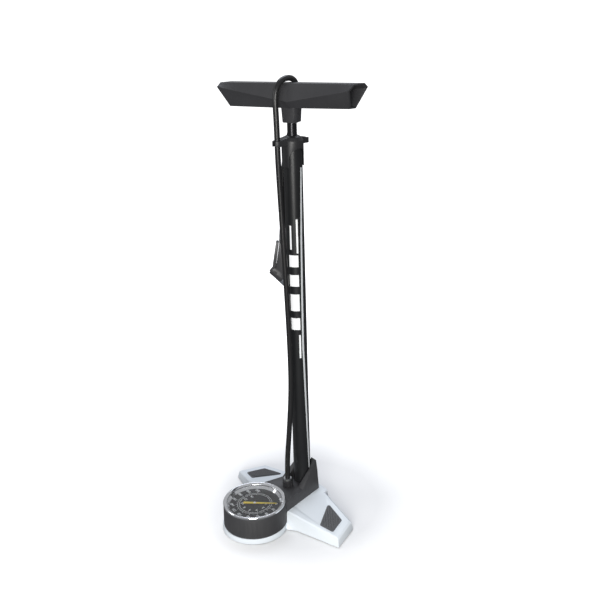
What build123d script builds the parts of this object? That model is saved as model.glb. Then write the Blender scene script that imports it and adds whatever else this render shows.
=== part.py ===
from build123d import *
import math
import os

# A floor pump for bicycle tyres. Millimetres, +Z up, the barrel's axis is the Z axis, the floor is z = 0.
# -Y points to the gauge, +X and -X to the two feet.

# ---- driving dimensions: barrel and rod ----
BARREL_OD = 28.6
BARREL_WALL = 1.6
BARREL_TOP = 622.0
ROD_OD = 14.5
ROD_WALL = 1.5
ROD_TOP = 668.0

# ---- driving dimensions: base ----
FLOOR_PAD = 3.0            # thickness of the rubber floor pads
PAD_PROUD = 1.0            # how far the floor pads stand below the moulding
BASE_WALL = 3.2
DECK_Z = 28.0              # top of the base's middle deck, where the barrel socket stands
FOOT_TOP_Z = 23.8          # height of a foot's top at FOOT_TOP_X
FOOT_TOP_X = 57.0
FOOT_SLOPE = 0.117         # fall of a foot's top per millimetre outwards
FOOT_HALF_SPAN = 139.0     # from the middle to a foot's front outer corner
FOOT_FRONT_Y = -41.0
FOOT_REAR_X = 118.0
FOOT_REAR_Y = 10.0
NECK_X = 61.0
NECK_Y = -63.0
THROAT_X = 47.0
THROAT_Y = -73.0
TAIL_X = 22.0
TAIL_Y = 30.0
RIM_R = 54.6               # white rim under the gauge, at the floor
RIM_DRAFT = 5.0
SCREW_BOSS_R = 4.0
SCREW_R = 1.5

# ---- driving dimensions: barrel socket ----
SOCKET_WALL = 2.5
SOCKET_DECK_Z = 46.0
SOCKET_FRONT_X = 37.0
SOCKET_FRONT_Y = -62.0
SOCKET_REAR_X = 21.0
SOCKET_REAR_Y = 26.0
SOCKET_PEAK_Z = 85.0
SOCKET_PEAK_Y = 14.0
SOCKET_RISE_Y = -22.0      # where the flanks start to rise from the deck

# ---- driving dimensions: gauge ----
GAUGE_R = 51.5
GAUGE_Y = -102.7
GAUGE_Z = 49.7             # middle of the bezel's top
GAUGE_TILT = 1.0           # degrees, towards the front
CASE_DEPTH = 39.5          # from the bezel's top to the underside of the case
CASE_WALL = 2.4
CASE_FLARE = 1.5           # how much larger the case's radius is at its foot
BEZEL_H = 4.0              # bright height of the bezel's side
WINDOW_R = 46.0
DIAL_R = 41.6
SECTOR_TEETH = 60
PINION_TEETH = 10
GEAR_MODULE = 0.5

# ---- driving dimensions: valve block, outlet and hose ----
PORT_Z = 33.0              # height of the air passage in the valve block
BALL_R = 3.0
OUTLET_Y = -32.0
HOSE_R = 4.3
CLIP_Y = -28.4
REAR_CLIP_Y = 22.0
CLIP_Z = 621.5
CLIP_H = 8.5

# ---- driving dimensions: cap ----
CAP_WALL = 2.3
CAP_TOP = 634.6
CAP_ARCH_Z = 617.0
CAP_SKIRT_Z = 589.0

# ---- driving dimensions: piston ----
PISTON_H = 16.0
BUMP_STOP_H = 10.0
BUSH_H = 17.0

# ---- driving dimensions: handle ----
HANDLE_Z = 692.6
HANDLE_H = 35.0
HANDLE_HALF = 103.0        # half length at the grip's middle line
HANDLE_YAW = 28.0
HANDLE_WALL = 2.6
HANDLE_TOP_T = 9.0
HANDLE_CREASE_T = 17.0
HANDLE_CREASE_END = 10.0
HANDLE_CREASE_MID = -8.0
HANDLE_BOTTOM_END_T = 5.0
HANDLE_BOTTOM_MID_T = 12.0
HANDLE_SWEEP = 0.5         # slant of an end seen from above, the same way round at both ends
HANDLE_LEAN = 0.3          # how much further out the top of an end lies, per millimetre
HUB_HALF = 15.0
STEM_BOTTOM = 654.0
STEM_TOP_HALF = 13.2
STEM_BOTTOM_HALF = 11.6

# ---- driving dimensions: pump head ----
HEAD_HEADING = 51.2        # the way the nose points, about Z from +X
HEAD_X = -36.2
HEAD_Y = 4.8
HEAD_Z = 412.0
PIVOT_S = -13.2
PIVOT_Z = 1.7
CHUCK_R = 10.0
CHUCK_ANGLE = 135.0
CHEEK_HALF = 9.5
SLOT_HALF = 4.6
CAM_R = 7.2
CAM_THROW = 0.8            # eccentricity of the cam: the lever's full swing pushes the plunger this far
VALVE_R = 4.0
GASKET_L = 12.9
COLLAR_LOW = 50.0          # top of the grip, above HEAD_Z
COLLAR_TOP = 55.0

# ---- fits ----
GAP = 0.3                  # clearance between neighbours
FIT = 0.05                 # sliding or seated clearance
RUN = 0.06                 # running clearance of shafts

barrel_r = BARREL_OD / 2
bore_r = barrel_r - BARREL_WALL
rod_r = ROD_OD / 2
LOW = (Align.CENTER, Align.CENTER, Align.MIN)

os.makedirs("parts", exist_ok=True)


def cyl(radius, low, high, x=0.0, y=0.0):
    return Pos(x, y, low) * Cylinder(radius, high - low, align=LOW)


def ring(outer, inner, low, high, x=0.0, y=0.0):
    return cyl(outer, low, high, x, y) - cyl(inner, low - 1, high + 1, x, y)


def cone(low_r, high_r, low, high):
    return Pos(0, 0, low) * Cone(low_r, high_r, high - low, align=LOW)


def block(x0, x1, y0, y1, z0, z1):
    return Pos((x0 + x1) / 2, (y0 + y1) / 2, (z0 + z1) / 2) * Box(x1 - x0, y1 - y0, z1 - z0)


def side_rod(radius, y0, y1, z, x=0.0):
    """A round bar along Y."""
    return Pos(x, (y0 + y1) / 2, z) * Rot(90, 0, 0) * Cylinder(radius, y1 - y0)


def carve(shape, planes, inset=0.0):
    """Keep what lies behind each plane (point, outward normal), moved inwards by inset."""
    for point, normal in planes:
        away = Vector(*normal).normalized()
        cutter = Plane(origin=Vector(*point) - away * inset, z_dir=away)
        shape = split(shape, bisect_by=cutter, keep=Keep.BOTTOM)
    return shape


def wall_plane(start, end, draft):
    """The plane of a side wall that rises from the line start-end and leans in by draft degrees.
    The outside is on the right-hand side of the line."""
    dx, dy = end[0] - start[0], end[1] - start[1]
    length = math.hypot(dx, dy)
    lean = math.radians(draft)
    return (*start, 0), (dy / length * math.cos(lean), -dx / length * math.cos(lean), math.sin(lean))


def mirrored(planes):
    return [((-p[0], p[1], p[2]), (-n[0], n[1], n[2])) for p, n in planes]


def inset_outline(points, distance):
    """A convex outline, counter-clockwise, with every edge moved inwards by distance."""
    lines = []
    for (x0, y0), (x1, y1) in zip(points, points[1:] + points[:1]):
        length = math.hypot(x1 - x0, y1 - y0)
        nx, ny = (y1 - y0) / length, -(x1 - x0) / length
        lines.append((nx, ny, nx * x0 + ny * y0 - distance))
    moved = []
    for (a, b, c), (d, e, f) in zip(lines[-1:] + lines[:-1], lines):
        det = a * e - b * d
        moved.append(((c * e - b * f) / det, (a * f - c * d) / det))
    return moved


def revolved(*profile):
    """A solid of revolution about Z from (radius, height) points."""
    return revolve(Plane.XZ * make_face(Polyline(*profile, close=True)), axis=Axis.Z)


def prism(outline, half_width):
    """An outline in X and Z, as thick as half_width each way along Y."""
    return extrude(Plane.XZ * make_face(Polyline(*outline, close=True)), amount=half_width, both=True)


def node(name, *solids):
    """Write one named node. Several solids stay separate."""
    found = [s for shape in solids for s in shape.solids()]
    export_step(found[0] if len(found) == 1 else Compound(children=found), f"parts/{name}.step")


# ---------------------------------------------------------------- base moulding
gauge_at = Plane(
    origin=(0, GAUGE_Y, GAUGE_Z),
    x_dir=(1, 0, 0),
    z_dir=(0, -math.sin(math.radians(GAUGE_TILT)), math.cos(math.radians(GAUGE_TILT))),
)
GAUGE = gauge_at.location
lean = gauge_at.z_dir
case_seat = tuple(gauge_at.origin - lean * CASE_DEPTH)
case_up = tuple(lean)
base_low = PAD_PROUD
slope = (FOOT_SLOPE, 0, 1)

foot_sides = [
    wall_plane((TAIL_X, TAIL_Y), (0, TAIL_Y), 4),
    wall_plane((FOOT_REAR_X, FOOT_REAR_Y), (TAIL_X, TAIL_Y), 12),
    wall_plane((FOOT_HALF_SPAN, FOOT_FRONT_Y), (FOOT_REAR_X, FOOT_REAR_Y), 10),
    wall_plane((NECK_X, NECK_Y), (FOOT_HALF_SPAN, FOOT_FRONT_Y), 14),
]
foot_top = ((FOOT_TOP_X, 0, FOOT_TOP_Z), slope)
deck = ((0, 0, DECK_Z), (0, 0, 1))
throat_lean = 30
middle_sides = [
    wall_plane((THROAT_X, THROAT_Y), (NECK_X, NECK_Y), throat_lean),
    wall_plane((NECK_X, NECK_Y), (TAIL_X + 14, TAIL_Y), 8),
]


def foot(inset):
    raw = block(0, 160, -90, 60, base_low if inset == 0 else -5, 60)
    return carve(raw, foot_sides + [foot_top, deck], inset)


def middle(inset):
    raw = block(-80, 80, THROAT_Y - 2, TAIL_Y + 5, base_low if inset == 0 else -5, 60)
    ends = [wall_plane((TAIL_X, TAIL_Y), (-TAIL_X, TAIL_Y), 4), deck]
    return carve(raw, middle_sides + mirrored(middle_sides) + [foot_top] + mirrored([foot_top]) + ends, inset)


def rim(inset):
    high = 40.0
    top_r = RIM_R - high * math.tan(math.radians(RIM_DRAFT))
    low = base_low if inset == 0 else -5
    low_r = RIM_R - low * math.tan(math.radians(RIM_DRAFT))
    raw = Pos(0, GAUGE_Y, 0) * cone(low_r - inset, top_r - inset, low, high)
    return carve(raw, [(case_seat, case_up)], inset)


def foot_rounded(side):
    shape = foot(0)
    rise = Vector(*slope).normalized().Z
    top = [f for f in shape.faces() if abs(f.normal_at().Z - rise) < 1e-6][0]
    edges = [e for e in top.edges() if e.center().X > 24]
    shape = chamfer(edges, length=2.4)
    return shape if side > 0 else mirror(shape, about=Plane.YZ)


pad_outline = [(61, 5.2), (105.3, -4.0), (118.0, -34.9), (93.3, -40.8)]
PAD_RECESS = 1.6
PAD_THICK = 2.2


def pad_solid(depth, height, clearance, side):
    outline = inset_outline(list(reversed(pad_outline)), -clearance)
    face = make_face(Polyline(*outline, close=True))
    face = fillet(face.vertices(), 3.0 + clearance)
    column = extrude(face, amount=70)
    floor = (FOOT_TOP_X, 0, FOOT_TOP_Z - depth)
    lid = (FOOT_TOP_X, 0, FOOT_TOP_Z + height)
    up = slope
    down = tuple(-v for v in slope)
    shape = carve(column, [(lid, up), (floor, down)])
    return shape if side > 0 else mirror(shape, about=Plane.YZ)


floor_pad_spots = [(112.0, -19.0), (-112.0, -19.0), (0.0, -122.0)]
FLOOR_PAD_R = 8.0
CENTRE_PAD_R = 15.0
socket_screw_spots = [(23.0, -46.0), (-23.0, -46.0), (16.0, 18.5), (-16.0, 18.5)]
block_screw_spots = [(barrel_r + 2.6, 0.0), (-barrel_r - 2.6, 0.0)]
BLOCK_BODY_R = 10.5
block_low = 10.0

case_hole = GAUGE * (cone(GAUGE_R + CASE_FLARE + GAP, GAUGE_R + GAP, -CASE_DEPTH, 0) + cyl(GAUGE_R + GAP, -1, 60))
skin = foot_rounded(1) + foot_rounded(-1) + middle(0) + rim(0)
hollow = foot(BASE_WALL) + mirror(foot(BASE_WALL), about=Plane.YZ) + middle(BASE_WALL) + rim(BASE_WALL)
base = skin - hollow - case_hole
for side in (1, -1):
    base -= pad_solid(PAD_RECESS, 20, GAP, side)
posts = [cyl(FLOOR_PAD_R, FLOOR_PAD, 30, x, y) for x, y in floor_pad_spots]
posts.append(ring(CENTRE_PAD_R, BLOCK_BODY_R + 0.7, FLOOR_PAD, DECK_Z))
posts += [cyl(SCREW_BOSS_R, 18, DECK_Z, x, y) for x, y in socket_screw_spots + block_screw_spots]
for post in posts:
    base += post & (skin - case_hole)
base -= cyl(BLOCK_BODY_R + 0.7, 0, 60)
for x, y in socket_screw_spots:
    base -= cyl(SCREW_R + GAP, 0, 60, x, y)
    base -= cyl(3.4, 0, 22, x, y)
for x, y in block_screw_spots:
    base -= cyl(SCREW_R + FIT, 0, 60, x, y)
for side in (1, -1):
    base -= pad_solid(PAD_RECESS, 20, GAP, side)
node("base_shell", base)

node("grip_pad_right", pad_solid(PAD_RECESS, PAD_THICK - PAD_RECESS, 0, 1))
node("grip_pad_left", pad_solid(PAD_RECESS, PAD_THICK - PAD_RECESS, 0, -1))
floor_pads = [cyl(FLOOR_PAD_R, 0, FLOOR_PAD, x, y) for x, y in floor_pad_spots]
node("floor_pads", *floor_pads)
node("centre_floor_pad", cyl(CENTRE_PAD_R, 0, FLOOR_PAD))

# ---------------------------------------------------------------- barrel socket
rise = math.atan2(SOCKET_PEAK_Z - SOCKET_DECK_Z, SOCKET_PEAK_Y - SOCKET_RISE_Y)
flanks = [wall_plane((SOCKET_FRONT_X, SOCKET_FRONT_Y), (SOCKET_REAR_X, SOCKET_REAR_Y - 5), 2)]
flanks.append(wall_plane((SOCKET_REAR_X, SOCKET_REAR_Y - 5), (SOCKET_REAR_X - 6, SOCKET_REAR_Y), 3))
flanks += mirrored(flanks)
rear_wall = [wall_plane((SOCKET_REAR_X, SOCKET_REAR_Y), (-SOCKET_REAR_X, SOCKET_REAR_Y), 7)]
deck_top = [((0, 0, SOCKET_DECK_Z), (0, 0, 1))]
tower_top = [
    ((0, SOCKET_RISE_Y, SOCKET_DECK_Z), (0, -math.sin(rise), math.cos(rise))),
    ((0, SOCKET_PEAK_Y, SOCKET_PEAK_Z), (0, 0.2, 1)),
]


def socket_block(inset):
    low = DECK_Z - 5 if inset == 0 else DECK_Z - 10
    raw = block(-60, 60, -80, 60, low, 120)
    deck = carve(raw, flanks + rear_wall + deck_top, inset)
    return deck + carve(raw, flanks + rear_wall + tower_top, inset)


funnel_r = barrel_r + 0.8
funnel_foot = make_face(
    Polyline((-funnel_r, -40), (funnel_r, -40), (funnel_r, 0)) + RadiusArc((funnel_r, 0), (-funnel_r, 0), -funnel_r)
    + Line((-funnel_r, 0), (-funnel_r, -40))
)
FUNNEL_DRAFT = 2.5
funnel = extrude(Pos(0, 0, SOCKET_DECK_Z) * funnel_foot, amount=60, taper=-FUNNEL_DRAFT)
socket = socket_block(0) - case_hole - funnel
hollow = socket_block(SOCKET_WALL)
funnel_skin = extrude(
    Pos(0, 0, SOCKET_DECK_Z - SOCKET_WALL) * offset(funnel_foot, amount=SOCKET_WALL), amount=70, taper=-FUNNEL_DRAFT
)
socket -= hollow - funnel_skin
for x, y in socket_screw_spots:
    socket += (cyl(SCREW_BOSS_R, DECK_Z - 3, 80, x, y) & socket_block(0)) - funnel - case_hole
socket -= cyl(barrel_r + GAP, 0, 120)
for x, y in socket_screw_spots:
    socket -= cyl(SCREW_R + FIT, 0, DECK_Z + 13, x, y)
OUTLET_BOSS_R = 7.0
socket -= cyl(OUTLET_BOSS_R + GAP, 0, 120, 0, OUTLET_Y)
socket -= skin
node("barrel_socket", socket)


def screw(x, y, head_r, head_low, head_high, tip):
    """A screw along Z with its head between two heights, its tip above or below it, and a hexagon recess."""
    upward = tip > head_high
    recess_low = head_low if upward else head_high - 1.4
    shape = cyl(head_r, head_low, head_high, x, y)
    shape -= Pos(x, y, recess_low) * extrude(RegularPolygon(head_r * 0.5, 6), amount=1.4)
    shank = (head_high - 0.5, tip) if upward else (tip, head_low + 0.5)
    return shape + cyl(SCREW_R, *shank, x, y)


node("socket_screws", *[screw(x, y, 3.0, 19.5, 22.0, DECK_Z + 12) for x, y in socket_screw_spots])

# ---------------------------------------------------------------- valve block and check valve
flange_top = DECK_Z + 9.0
spigot_top = flange_top + 13.0
seat_z = PORT_Z + 3.0
chamber_r = BALL_R + 1.2
plug_top = 17.0
spigot_r = bore_r - 0.15
groove_low = flange_top + 5.0
GROOVE_H = 2.6
outlet_top = SOCKET_DECK_Z
arm_end = OUTLET_Y - 8.0
STEM_BAR_R = 3.2
stem_reach = (arm_end - GAUGE_Y) / math.cos(math.radians(GAUGE_TILT))
stem_z = (PORT_Z - GAUGE_Z) / math.cos(math.radians(GAUGE_TILT)) - stem_reach * math.tan(math.radians(GAUGE_TILT))
flange = carve(cyl(barrel_r + 5.0, DECK_Z, flange_top), [((0, 18.5, 0), (0, 1, 0))]) & socket_block(SOCKET_WALL + GAP)
valve_block = cyl(BLOCK_BODY_R, block_low, DECK_Z + 1) + flange
valve_block += cyl(spigot_r, flange_top - 1, spigot_top) + block(-7, 7, arm_end - 3, 0, DECK_Z, flange_top)
valve_block += cyl(OUTLET_BOSS_R, DECK_Z, outlet_top, 0, OUTLET_Y)
valve_block -= GAUGE * side_rod(STEM_BAR_R + GAP, GAUGE_R, stem_reach + GAP, stem_z)
valve_block -= ring(bore_r + 2, bore_r - 2.4, groove_low, groove_low + GROOVE_H)
valve_block -= cyl(chamber_r, 0, seat_z) + cyl(1.8, seat_z - 1, 80)
valve_block -= side_rod(1.5, arm_end - 4, -2, PORT_Z) + cyl(1.6, PORT_Z, 80, 0, OUTLET_Y)
valve_block -= cyl(3.2 + FIT, outlet_top - 8, 80, 0, OUTLET_Y)
for x, y in block_screw_spots:
    valve_block -= cyl(SCREW_R + GAP, 0, 60, x, y)
    valve_block -= cyl(3.4, flange_top - 3, 60, x, y) - cyl(barrel_r + GAP, 0, 70)
node("valve_block", valve_block)
node("block_screws", *[screw(x, y, 1.9, flange_top - 3, flange_top - 0.6, 20.0) for x, y in block_screw_spots])
node("valve_plug", cyl(chamber_r - FIT, block_low, plug_top) + cyl(6.0, block_low - 3, block_low)
     - Pos(0, 0, block_low - 3.01) * extrude(RegularPolygon(2.6, 6), amount=3))
oring_r = GROOVE_H / 2 - 0.15
node("block_oring", Pos(0, 0, groove_low + GROOVE_H / 2) * Torus(bore_r - oring_r - FIT, oring_r))
ball_z = seat_z - math.sqrt(BALL_R ** 2 - 1.8 ** 2) - 0.1
node("check_ball", Pos(0, 0, ball_z) * Sphere(BALL_R))
SPRING_WIRE = 0.35
spring_low = plug_top + SPRING_WIRE + 0.02
spring_high = ball_z - BALL_R - SPRING_WIRE - 0.02
spring_path = Pos(0, 0, spring_low) * Helix((spring_high - spring_low) / 5, spring_high - spring_low, 2.3)
spring_end = Plane(origin=spring_path @ 0, z_dir=spring_path % 0)
node("check_spring", sweep(spring_end * Circle(SPRING_WIRE), path=spring_path))

# ---------------------------------------------------------------- barrel and cap
barrel_low = flange_top
node("barrel", ring(barrel_r, bore_r, barrel_low, BARREL_TOP))

cap_r = barrel_r + CAP_WALL
shoulder_z = CAP_TOP - 7.0
wiper_r = rod_r + 2.8
CLIP_R = 7.4
clip_bore = HOSE_R + GAP
cap = revolved((0, CAP_SKIRT_Z), (cap_r, CAP_SKIRT_Z), (cap_r, shoulder_z), (cap_r - 3.2, CAP_TOP - 2.2),
               (rod_r + 2.0, CAP_TOP), (0, CAP_TOP))
for way, middle_y in ((-1, CLIP_Y), (1, REAR_CLIP_Y)):
    web = block(-CLIP_R, CLIP_R, min(0, middle_y), max(0, middle_y), CLIP_Z, CLIP_Z + CLIP_H + 5)
    clip = web + cyl(CLIP_R, CLIP_Z, CLIP_Z + CLIP_H + 5, 0, middle_y)
    clip = carve(clip, [((0, middle_y, CLIP_Z + CLIP_H), (0, way * 0.18, 1))])
    clip -= cyl(clip_bore, CLIP_Z - 1, CAP_TOP + 5, 0, middle_y)
    mouth = HOSE_R * 0.78
    edge = middle_y + way * 20
    clip -= block(-mouth, mouth, min(middle_y, edge), max(middle_y, edge), CLIP_Z - 1, CAP_TOP + 5)
    cap += clip
arch_half = cap_r - 2.6
arch = Pos(0, 0, CAP_ARCH_Z - arch_half) * Rot(0, 90, 0) * Cylinder(arch_half, 4 * cap_r)
arch += block(-2 * cap_r, 2 * cap_r, -arch_half, arch_half, CAP_SKIRT_Z - 5, CAP_ARCH_Z - arch_half)
cap -= arch
cap -= cyl(barrel_r + FIT, CAP_SKIRT_Z - 1, BARREL_TOP + 0.2) + cyl(wiper_r + FIT, BARREL_TOP, CAP_TOP - 2)
cap -= cyl(rod_r + GAP, 0, CAP_TOP + 1)
node("barrel_cap", cap)
node("rod_wiper", ring(wiper_r, rod_r + 0.1, BARREL_TOP + GAP, CAP_TOP - 2 - GAP))
bush_low = BARREL_TOP - BUSH_H
node("rod_bush", ring(bore_r - FIT, rod_r + RUN, bush_low, BARREL_TOP))
stop_low = bush_low - BUMP_STOP_H
node("bump_stop", ring(bore_r - GAP, rod_r + GAP, stop_low, bush_low))

# ---------------------------------------------------------------- piston and rod
bolt_low = spigot_top + 1.5
washer_low = bolt_low + 4.0
piston_low = washer_low + 1.5
piston_top = piston_low + PISTON_H
stroke = stop_low - piston_top - 1.0
plug_len = 16.0
M6 = 3.0
cup_low = piston_low + 6.0
CUP_H = 5.0
rod_bore = rod_r - ROD_WALL
node("piston_rod", ring(rod_r, rod_bore, piston_top, ROD_TOP))
node("rod_plug", ring(rod_bore - FIT, M6 + FIT, piston_top, piston_top + plug_len))
piston = ring(bore_r - GAP, M6 + FIT, piston_low, piston_top)
node("piston", piston - ring(bore_r + 2, bore_r - 2.6, cup_low, cup_low + CUP_H))
cup_in = bore_r - 2.6 + FIT
cup_out = bore_r - 0.08
node("piston_cup", revolved((cup_in, cup_low + FIT), (cup_out, cup_low + FIT), (cup_out, cup_low + 1.6),
                            ((cup_in + cup_out) / 2, cup_low + 2.8), (cup_in, cup_low + 2.8)))
node("piston_washer", ring(7.0, M6 + FIT, washer_low, piston_low))
hex_head = extrude(Pos(0, 0, bolt_low) * RegularPolygon(5.5, 6), amount=washer_low - bolt_low)
node("piston_bolt", hex_head + cyl(M6, washer_low - 0.5, piston_top + plug_len - 2))

# ---------------------------------------------------------------- handle
HANDLE = Location((0, 0, HANDLE_Z), (0, 0, HANDLE_YAW))
half_h = HANDLE_H / 2


def handle_outline(s):
    """The grip's section at s from the middle: flat top, a crease that drops towards the middle, flat bottom."""
    share = min(abs(s) / HANDLE_HALF, 1.3)
    crease = HANDLE_CREASE_MID + (HANDLE_CREASE_END - HANDLE_CREASE_MID) * share
    bottom = HANDLE_BOTTOM_MID_T + (HANDLE_BOTTOM_END_T - HANDLE_BOTTOM_MID_T) * share
    right = [(bottom, -half_h), (HANDLE_CREASE_T, crease), (HANDLE_TOP_T, half_h)]
    return right + [(-t, z) for t, z in reversed(right)]


def handle_section(s, inset=0.0):
    at = Plane(origin=(s, 0, 0), x_dir=(0, 1, 0), z_dir=(1, 0, 0))
    outline = handle_outline(s)
    return at * make_face(Polyline(*(inset_outline(outline, inset) if inset else outline), close=True))


grip_end = HANDLE_HALF * 1.2
handle = loft([handle_section(-grip_end), handle_section(0)], ruled=True)
handle += loft([handle_section(0), handle_section(grip_end)], ruled=True)
for way in (1, -1):
    handle -= loft([handle_section(way * HUB_HALF, HANDLE_WALL), handle_section(way * grip_end, HANDLE_WALL)],
                   ruled=True)
    end_face = ((way * HANDLE_HALF, 0, HANDLE_CREASE_END), (way, -way * HANDLE_SWEEP, -HANDLE_LEAN))
    handle = carve(handle, [end_face])
stem_h = HANDLE_Z - half_h - STEM_BOTTOM
stem_low = STEM_BOTTOM - HANDLE_Z
stem_base = Rectangle(2 * STEM_BOTTOM_HALF, 2 * STEM_BOTTOM_HALF)
stem_head = Rectangle(2 * STEM_TOP_HALF, 2 * STEM_BOTTOM_HALF)
stem = loft([Pos(0, 0, stem_low) * chamfer(stem_base.vertices(), 4.0),
             Pos(0, 0, stem_low + stem_h + 1) * chamfer(stem_head.vertices(), 4.0)], ruled=True)
handle += stem
handle -= cyl(rod_r + FIT, stem_low - 1, ROD_TOP - HANDLE_Z + FIT) + cyl(4.0 + FIT, stem_low, 0.5)
node("handle", HANDLE * handle)
node("handle_stud", cyl(rod_bore - FIT, ROD_TOP - 18, ROD_TOP) + cyl(4.0, ROD_TOP - 1, HANDLE_Z))

# ---------------------------------------------------------------- gauge
case_low = -CASE_DEPTH
case = cone(GAUGE_R + CASE_FLARE, GAUGE_R, case_low, -BEZEL_H) - cyl(GAUGE_R - CASE_WALL, case_low + CASE_WALL, 1)
case -= side_rod(STEM_BAR_R + GAP, 0, GAUGE_R + 5, stem_z)
node("gauge_case", GAUGE * case)
bezel_in = GAUGE_R - CASE_WALL - FIT
skirt_low = -BEZEL_H - 3.0
lens_top = -3.0
node("gauge_bezel", GAUGE * revolved((bezel_in, skirt_low), (bezel_in, -BEZEL_H), (GAUGE_R + 0.2, -BEZEL_H),
                                     (GAUGE_R + 0.2, -1.6), (GAUGE_R - 0.8, 0), (GAUGE_R - 2.2, 0),
                                     (WINDOW_R, lens_top + 0.6), (WINDOW_R, lens_top), (bezel_in - 2.0, lens_top),
                                     (bezel_in - 2.0, skirt_low)))
lens_r = bezel_in - 2.0 - FIT
LENS_T = 1.8
node("gauge_lens", GAUGE * cyl(lens_r, lens_top - LENS_T, lens_top))
dial_top = -9.0
DIAL_T = 0.8
ring_top = lens_top - LENS_T
node("dial_ring", GAUGE * revolved((lens_r, dial_top), (lens_r, ring_top), (WINDOW_R - 0.4, ring_top),
                                   (DIAL_R, dial_top + 0.4), (DIAL_R, dial_top)))
dial = cyl(lens_r, dial_top - DIAL_T, dial_top) - cyl(2.0, -20, 0)
dial_screw_spots = [(30.0, 0.0), (-30.0, 0.0)]
for x, y in dial_screw_spots:
    dial -= cyl(1.1 + GAP, -20, 0, x, y)
node("gauge_dial", GAUGE * dial)

centre_distance = GEAR_MODULE * (SECTOR_TEETH + PINION_TEETH) / 2
plate_high = dial_top - DIAL_T - 1.2
plate_t = 1.6
plate_low = plate_high - 14.0
gear_mid = plate_high - 7.0
SECTOR_AT = (0.0, centre_distance)
frame_half = 6.5
frame = block(-frame_half, frame_half, -6, centre_distance + 6, plate_high - plate_t, plate_high)
frame += block(-frame_half, frame_half, -6, centre_distance + 6, plate_low, plate_low + plate_t)
for x, y in ((-4.4, -4.0), (4.4, centre_distance + 4.0)):
    frame += cyl(1.6, plate_low, plate_high, x, y)
wide = block(-32, 32, -3, 3, plate_high - plate_t, plate_high)
frame += wide
frame += cyl(5.0, case_low + CASE_WALL, plate_low + 0.2, 0, centre_distance / 2)
frame -= cyl(1.0 + RUN, plate_low - 1, plate_high + 1)
frame -= cyl(1.2 + RUN, plate_low - 1, plate_high + 1, *SECTOR_AT)
for x, y in dial_screw_spots:
    frame -= cyl(1.1 + FIT, -40, 0, x, y)
node("movement_frame", GAUGE * frame)
node("dial_screws", *[GAUGE * (cyl(2.2, dial_top, dial_top + 0.8, x, y)
                               + cyl(1.1, plate_high - plate_t, dial_top + 0.1, x, y))
                      for x, y in dial_screw_spots])


def toothed(teeth, height, first, last, turn):
    """Straight-sided teeth of a spur gear from tooth first to tooth last, with the body up to the root circle."""
    pitch_r = GEAR_MODULE * teeth / 2
    root, tip = pitch_r - 1.2 * GEAR_MODULE, pitch_r + 0.8 * GEAR_MODULE
    step = 360.0 / teeth
    shapes = []
    for n in range(first, last + 1):
        tooth = [(root - 0.6, -0.36 * GEAR_MODULE * 2), (tip, -0.18 * GEAR_MODULE * 2),
                 (tip, 0.18 * GEAR_MODULE * 2), (root - 0.6, 0.36 * GEAR_MODULE * 2)]
        shapes.append(Rot(0, 0, turn + n * step) * extrude(make_face(Polyline(*tooth, close=True)), amount=height))
    return root, shapes


GEAR_H = 3.0
root_r, teeth = toothed(PINION_TEETH, GEAR_H, 0, PINION_TEETH - 1, 90.0 + 18.0)
spindle = cyl(root_r, gear_mid, gear_mid + GEAR_H) + cyl(1.0, plate_low, dial_top + 1.7)
for tooth in teeth:
    spindle += Pos(0, 0, gear_mid) * tooth
node("pinion_spindle", GAUGE * spindle)
root_r, teeth = toothed(SECTOR_TEETH, GEAR_H, -10, 2, -90.0)
SECTOR_SPAN = (-153.0, -75.0)
wedge_far = [(2 * root_r * math.cos(math.radians(a)), 2 * root_r * math.sin(math.radians(a))) for a in SECTOR_SPAN]
wedge = extrude(make_face(Polyline((0, 0), *wedge_far, close=True)), amount=GEAR_H)
TAIL = 7.5
sector = cyl(3.0, 0, GEAR_H) + (cyl(root_r, 0, GEAR_H) & wedge) + block(-1.4, 1.4, 0, TAIL + 1.5, 0, GEAR_H)
for tooth in teeth:
    sector += tooth
sector = Pos(*SECTOR_AT, gear_mid) * sector + cyl(1.2, plate_low, plate_high, *SECTOR_AT)
link_y = centre_distance + TAIL
sector += cyl(0.9, gear_mid - 2.4, gear_mid + 1, 0, link_y)
node("sector_gear", GAUGE * sector)
LINK_REACH = 22.0
link = block(-LINK_REACH, 0, link_y - 1.2, link_y + 1.2, gear_mid - 2.0, gear_mid - 1.0)
link += cyl(1.8, gear_mid - 2.0, gear_mid - 1.0, 0, link_y)
node("sector_link", GAUGE * (link - cyl(0.9 + FIT, -60, 0, 0, link_y)))

TUBE_R = 38.0
tube_z = case_low + CASE_WALL + 10.1
tube_section = Plane.XZ * Pos(TUBE_R, tube_z) * (SlotOverall(8.0, 3.0, rotation=90) - SlotOverall(6.8, 1.8, rotation=90))
anchor_angle = math.degrees(math.asin((5.0 + GAP) / TUBE_R))
TUBE_ARC = 308.0
bourdon = Rot(0, 0, 90.0 - anchor_angle - TUBE_ARC) * revolve(tube_section, axis=Axis.Z, revolution_arc=TUBE_ARC)
node("bourdon_tube", GAUGE * bourdon)
anchor = Rot(0, 0, 90.0) * block(TUBE_R - 5, TUBE_R + 5, -5, 5, case_low + CASE_WALL, stem_z + 5)
anchor -= Rot(0, 0, 90.0) * block(TUBE_R - 8, TUBE_R + 8, -8, 8, -60, case_low + CASE_WALL)
stem_bar = side_rod(STEM_BAR_R, TUBE_R + 4, stem_reach, stem_z)
brass = anchor + stem_bar - side_rod(1.0, 0, GAUGE_R + 10, stem_z)
node("gauge_stem", GAUGE * brass)

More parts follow.
